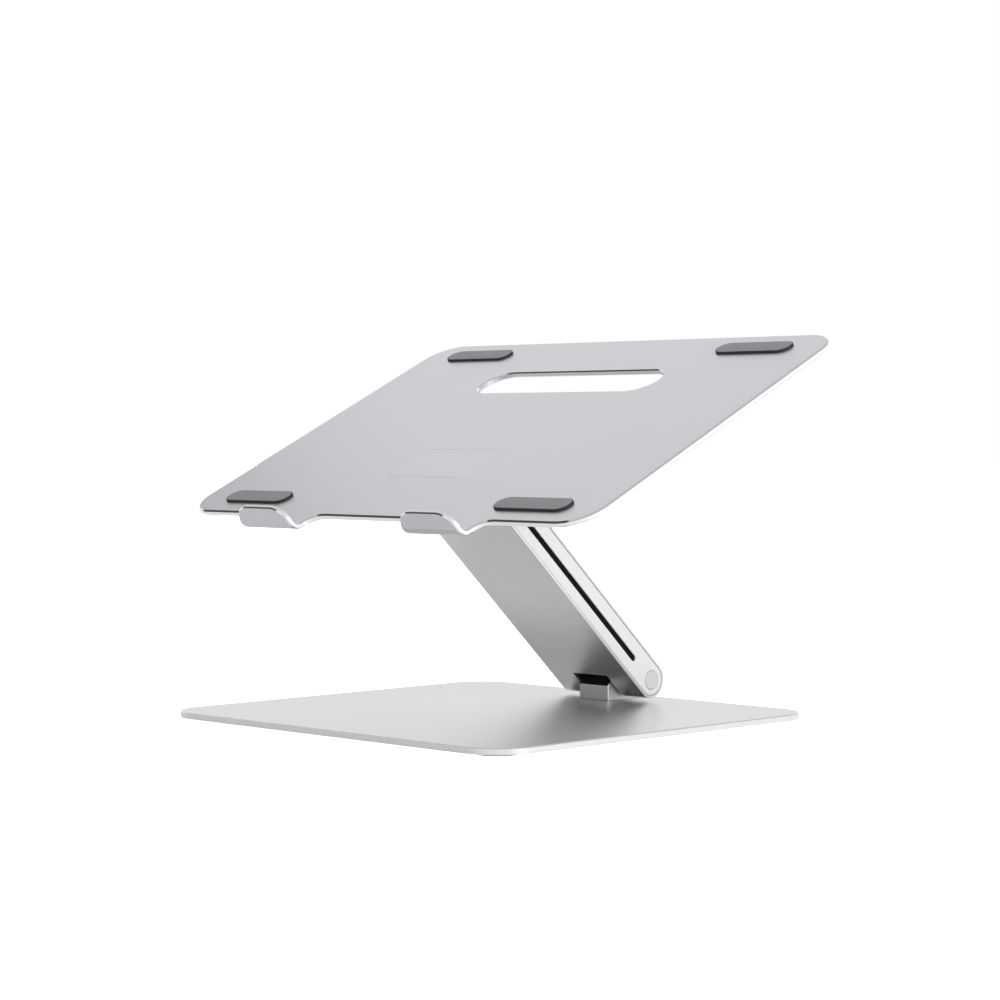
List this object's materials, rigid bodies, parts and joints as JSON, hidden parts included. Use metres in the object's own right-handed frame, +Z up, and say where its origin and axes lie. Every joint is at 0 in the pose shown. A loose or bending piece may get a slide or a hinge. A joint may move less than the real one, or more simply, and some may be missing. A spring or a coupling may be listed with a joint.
{
  "type": "laptop stand",
  "caption": "Folding laptop stand: flat base, wide tilting arm with friction hinges and a slotted tray with front lips and grey pads.",
  "frame": {"origin": "centre of the base plate's outline at desk level, under the feet", "axes": "+X to the user's right along both hinges, +Y away from the user, +Z up; the tray's lips are at -Y"},
  "size_m": [0.281, 0.226, 0.1923],
  "materials": {
    "anodised_aluminium": "sand-blasted and silver anodised, bright cut edges",
    "rubber_feet": "matt light grey rubber",
    "silicone_pads": "matt grey silicone",
    "silver_covers": "fine satin silver-white",
    "black_strip": "matt black",
    "silver_caps": "satin light grey",
    "grey_brackets": "satin machined",
    "black_casting": "black coated die casting",
    "bronze_washers": "dull bronze",
    "steel_hardware": "zinc plated steel"
  },
  "bodies": {
    "base": {"base_plate": "anodised_aluminium", "foot_front_left": "rubber_feet", "foot_front_right": "rubber_feet", "foot_rear_left": "rubber_feet", "foot_rear_right": "rubber_feet", "base_bracket": "grey_brackets", "base_bracket_screws": "steel_hardware", "lower_shaft": "steel_hardware", "lower_friction_washers": "bronze_washers", "lower_disc_springs": "steel_hardware", "lower_lock_nuts": "steel_hardware"},
    "arm": {"arm_shell": "anodised_aluminium", "arm_frame": "black_casting", "side_cover_left": "silver_covers", "side_cover_right": "silver_covers", "groove_strip_left": "black_strip", "groove_strip_right": "black_strip", "pivot_cap_lower_left": "silver_caps", "pivot_cap_lower_right": "silver_caps", "pivot_cap_upper_left": "silver_caps", "pivot_cap_upper_right": "silver_caps"},
    "upper_hinge": {"upper_shaft": "steel_hardware", "upper_friction_washers": "bronze_washers", "upper_disc_springs": "steel_hardware", "upper_lock_nuts": "steel_hardware"},
    "tray": {"tray_plate": "anodised_aluminium", "hinge_cover_plate": "anodised_aluminium", "tray_bracket": "grey_brackets", "tray_bracket_screws": "steel_hardware", "tray_pad_front_left": "silicone_pads", "tray_pad_front_right": "silicone_pads", "tray_pad_rear_left": "silicone_pads", "tray_pad_rear_right": "silicone_pads", "lip_pad_left": "silicone_pads", "lip_pad_right": "silicone_pads"}
  },
  "joints": [
    {"name": "arm_fold", "type": "hinge", "parent": "base", "child": "arm", "pos_m": [0, 0.0904, 0.0156], "axis": [1, 0, 0], "range_deg": [-35, 42.6]},
    {"name": "tray_fold", "type": "hinge", "parent": "arm", "child": "upper_hinge", "pos_m": [0, -0.02002, 0.11713], "axis": [-1, 0, 0], "range_deg": [-48, 58.1]},
    {"name": "tray_tilt", "type": "hinge", "parent": "upper_hinge", "child": "tray", "pos_m": [0, -0.02002, 0.11713], "axis": [-1, 0, 0], "range_deg": [-8, 10]}
  ],
  "couplings": [
    {"joint": "tray_fold", "follows": "arm_fold", "ratio": 1.3615}
  ]
}
